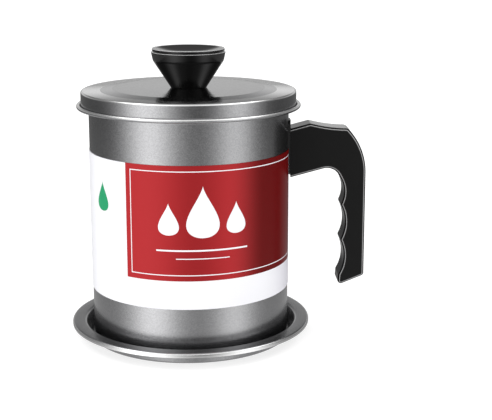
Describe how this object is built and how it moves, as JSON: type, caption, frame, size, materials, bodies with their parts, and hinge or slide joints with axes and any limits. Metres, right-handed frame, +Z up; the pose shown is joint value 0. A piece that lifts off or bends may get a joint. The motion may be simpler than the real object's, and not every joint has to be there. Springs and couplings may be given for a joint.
{
  "type": "bacon grease container",
  "caption": "Round steel grease pot with a side handle, a lift-out strainer cup under a knobbed lid, and a shallow drip tray below.",
  "frame": {"origin": "centre of the drip tray's underside, on the pot's vertical axis", "axes": "+Z up along the pot's axis, +X towards the handle, +Y away from a viewer who sees the handle on the right"},
  "size_m": [0.1724, 0.1402, 0.1688],
  "materials": {
    "coated_steel": "satin grey metallic coating",
    "printed_sleeve": "smooth printed card, white with a plain red panel",
    "black_plastic": "moulded black heat-proof plastic",
    "knob_plastic": "polished black heat-proof plastic",
    "bracket_steel": "dark coated steel",
    "plain_steel": "plain stainless steel",
    "brass": "turned brass"
  },
  "bodies": {
    "tray": {"drip_tray": "coated_steel"},
    "pot": {"pot_body": "coated_steel", "label_wrap": "printed_sleeve", "handle_bracket": "bracket_steel", "handle_grip": "black_plastic", "handle_insert": "brass", "handle_screw": "plain_steel"},
    "strainer": {"strainer_cup": "plain_steel", "strainer_mesh": "plain_steel", "mesh_ring": "plain_steel"},
    "lid": {"lid_cover": "coated_steel", "knob": "knob_plastic", "knob_insert": "brass", "knob_screw": "plain_steel", "knob_washer": "plain_steel"}
  },
  "joints": [
    {"name": "pot_lift", "type": "slide", "parent": "tray", "child": "pot", "axis": [0, 0, 1], "range_m": [0, 0.04]},
    {"name": "strainer_lift", "type": "slide", "parent": "pot", "child": "strainer", "axis": [0, 0, 1], "range_m": [0, 0.06]},
    {"name": "lid_lift", "type": "slide", "parent": "strainer", "child": "lid", "axis": [0, 0, 1], "range_m": [0, 0.05]}
  ]
}
